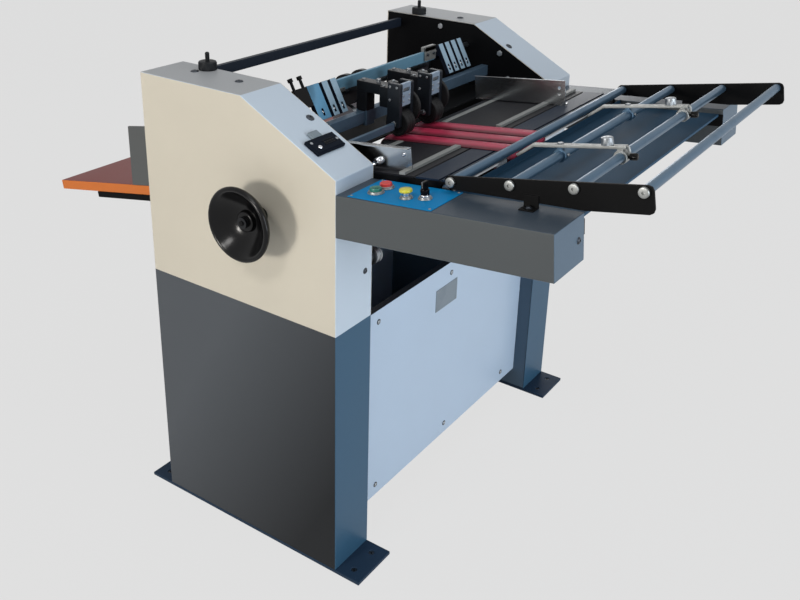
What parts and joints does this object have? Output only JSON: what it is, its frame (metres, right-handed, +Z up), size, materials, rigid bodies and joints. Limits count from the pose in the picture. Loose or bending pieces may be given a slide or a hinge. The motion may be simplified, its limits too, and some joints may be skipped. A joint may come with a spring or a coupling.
{
  "type": "paper creasing machine",
  "caption": "Floor-standing paper creasing machine with a friction feeder, a rod feed tray, creasing wheels on cross shafts and a sloping delivery board.",
  "frame": {"origin": "on the floor, at the centre of the bolt holes in the two foot plates", "axes": "+Z up; +Y from the feed tray towards the delivery board; +X from the handwheel side towards the drive side"},
  "size_m": [1.123, 1.599, 1.119],
  "materials": {
    "cover_paint": "satin",
    "column_paint": "satin",
    "panel_paint": "satin",
    "arm_paint": "satin",
    "frame_steel": "matt",
    "foot_steel": "satin",
    "turned_steel": "ground",
    "plated_steel": "polished",
    "blued_bar": "satin",
    "gear_steel": "machined",
    "belt_rubber": "matt",
    "drive_rubber": "matt",
    "table_steel": "satin",
    "guide_steel": "brushed",
    "wheel_rubber": "matt",
    "black_plastic": "gloss",
    "tray_paint": "satin",
    "pan_paint": "satin",
    "plate_blue": "gloss",
    "button_red": "gloss",
    "button_green": "gloss",
    "button_yellow": "gloss",
    "board_laminate": "laminated",
    "motor_paint": "satin",
    "bearing_steel": "ground"
  },
  "bodies": {
    "frame": {"foot_plates": "foot_steel", "near_column": "column_paint", "far_column": "column_paint", "near_cover": "cover_paint", "far_cover": "cover_paint", "inner_plates": "frame_steel", "front_panel": "panel_paint", "rear_panel": "panel_paint", "cross_members": "frame_steel", "tie_bar": "blued_bar", "bearings": "bearing_steel", "motor": "motor_paint", "drive_belts": "drive_rubber", "feed_belts": "belt_rubber", "feed_table": "table_steel", "table_strips": "guide_steel", "feed_bar": "blued_bar", "control_arm": "arm_paint", "far_arm": "arm_paint", "control_plate": "plate_blue", "button_collars": "plated_steel", "counter": "black_plastic", "tray_rods": "blued_bar", "rod_nuts": "plated_steel", "tray_side_plates": "tray_paint", "tray_pan": "pan_paint", "finger_shaft": "turned_steel", "finger_bar": "blued_bar", "delivery_board": "board_laminate", "delivery_brackets": "frame_steel", "casing_screws": "plated_steel"},
    "drive": {"layshaft": "turned_steel", "handwheel": "black_plastic", "layshaft_pulley": "gear_steel", "layshaft_drive": "gear_steel"},
    "lower_crease": {"lower_shaft": "turned_steel", "lower_drive": "gear_steel"},
    "upper_crease": {"upper_shaft": "turned_steel", "creasing_wheels": "gear_steel", "upper_gear": "gear_steel"},
    "feed_drum": {"feed_roller": "turned_steel", "feed_gear": "gear_steel"},
    "front_drum": {"front_roller": "turned_steel"},
    "motor_rotor": {"motor_pulley": "gear_steel"},
    "near_separator": {"near_head": "plated_steel"},
    "near_separator_wheel": {"near_head_wheel": "wheel_rubber"},
    "far_separator": {"far_head": "plated_steel"},
    "far_separator_wheel": {"far_head_wheel": "wheel_rubber"},
    "near_guide": {"near_side_guide": "guide_steel"},
    "far_guide": {"far_side_guide": "guide_steel"},
    "near_stop": {"near_back_stop": "plated_steel"},
    "far_stop": {"far_back_stop": "plated_steel"},
    "red_cap": {"red_button": "button_red"},
    "green_cap": {"green_button": "button_green"},
    "stop_cap": {"stop_button": "button_yellow"},
    "selector": {"selector_switch": "black_plastic"},
    "near_knob": {"near_pressure_knob": "black_plastic"},
    "far_knob": {"far_pressure_knob": "black_plastic"},
    "near_finger_group": {"near_fingers": "blued_bar"},
    "far_finger_group": {"far_fingers": "blued_bar"}
  },
  "joints": [
    {"name": "handwheel_turn", "type": "hinge", "parent": "frame", "child": "drive", "pos_m": [0, -0.07392, 0.83791], "axis": [1, 0, 0], "continuous": true},
    {"name": "lower_crease_turn", "type": "hinge", "parent": "frame", "child": "lower_crease", "pos_m": [0, 0.136, 0.865], "axis": [1, 0, 0], "continuous": true},
    {"name": "upper_crease_turn", "type": "hinge", "parent": "frame", "child": "upper_crease", "pos_m": [0, 0.136, 0.945], "axis": [1, 0, 0], "continuous": true},
    {"name": "feed_drum_turn", "type": "hinge", "parent": "frame", "child": "feed_drum", "pos_m": [0, -0.1461, 0.90712], "axis": [1, 0, 0], "continuous": true},
    {"name": "front_drum_turn", "type": "hinge", "parent": "frame", "child": "front_drum", "pos_m": [0, -0.43213, 0.94072], "axis": [1, 0, 0], "continuous": true},
    {"name": "motor_turn", "type": "hinge", "parent": "frame", "child": "motor_rotor", "pos_m": [0.36, -0.07392, 0.223], "axis": [1, 0, 0], "continuous": true},
    {"name": "near_separator_slide", "type": "slide", "parent": "frame", "child": "near_separator", "axis": [1, 0, 0], "range_m": [-0.003, 0.025]},
    {"name": "near_separator_wheel_turn", "type": "hinge", "parent": "near_separator", "child": "near_separator_wheel", "pos_m": [-0.155, -0.162, 0.96417], "axis": [1, 0, 0], "continuous": true},
    {"name": "far_separator_slide", "type": "slide", "parent": "frame", "child": "far_separator", "axis": [1, 0, 0], "range_m": [-0.025, 0.2]},
    {"name": "far_separator_wheel_turn", "type": "hinge", "parent": "far_separator", "child": "far_separator_wheel", "pos_m": [-0.034, -0.162, 0.96417], "axis": [1, 0, 0], "continuous": true},
    {"name": "near_guide_slide", "type": "slide", "parent": "frame", "child": "near_guide", "axis": [1, 0, 0], "range_m": [0, 0.1]},
    {"name": "far_guide_slide", "type": "slide", "parent": "frame", "child": "far_guide", "axis": [1, 0, 0], "range_m": [-0.05, 0.14]},
    {"name": "near_stop_slide", "type": "slide", "parent": "frame", "child": "near_stop", "axis": [1, 0, 0], "range_m": [-0.12, 0.1]},
    {"name": "far_stop_slide", "type": "slide", "parent": "frame", "child": "far_stop", "axis": [1, 0, 0], "range_m": [-0.1, 0.2]},
    {"name": "red_button_push", "type": "slide", "parent": "frame", "child": "red_cap", "axis": [0, 0.0941, 0.9956], "range_m": [-0.003, 0], "stiffness_N_per_m": 400},
    {"name": "green_button_push", "type": "slide", "parent": "frame", "child": "green_cap", "axis": [0, 0.0941, 0.9956], "range_m": [-0.003, 0], "stiffness_N_per_m": 400},
    {"name": "stop_button_push", "type": "slide", "parent": "frame", "child": "stop_cap", "axis": [0, 0.0941, 0.9956], "range_m": [-0.003, 0], "stiffness_N_per_m": 400},
    {"name": "selector_turn", "type": "hinge", "parent": "frame", "child": "selector", "pos_m": [-0.468, -0.43111, 0.9433], "axis": [0, 0.0941, 0.9956], "range_deg": [-45, 45]},
    {"name": "near_knob_turn", "type": "hinge", "parent": "frame", "child": "near_knob", "pos_m": [-0.4175, 0.168, 1.08], "axis": [0, 0, 1], "continuous": true},
    {"name": "far_knob_turn", "type": "hinge", "parent": "frame", "child": "far_knob", "pos_m": [0.4175, 0.168, 1.08], "axis": [0, 0, 1], "continuous": true},
    {"name": "near_fingers_slide", "type": "slide", "parent": "frame", "child": "near_finger_group", "axis": [1, 0, 0], "range_m": [-0.025, 0]},
    {"name": "far_fingers_slide", "type": "slide", "parent": "frame", "child": "far_finger_group", "axis": [1, 0, 0], "range_m": [0, 0.045]}
  ],
  "couplings": [
    {"joint": "lower_crease_turn", "follows": "handwheel_turn", "ratio": 1},
    {"joint": "upper_crease_turn", "follows": "handwheel_turn", "ratio": -1},
    {"joint": "feed_drum_turn", "follows": "handwheel_turn", "ratio": -2.0769},
    {"joint": "front_drum_turn", "follows": "handwheel_turn", "ratio": -2.0769},
    {"joint": "motor_turn", "follows": "handwheel_turn", "ratio": 3}
  ]
}
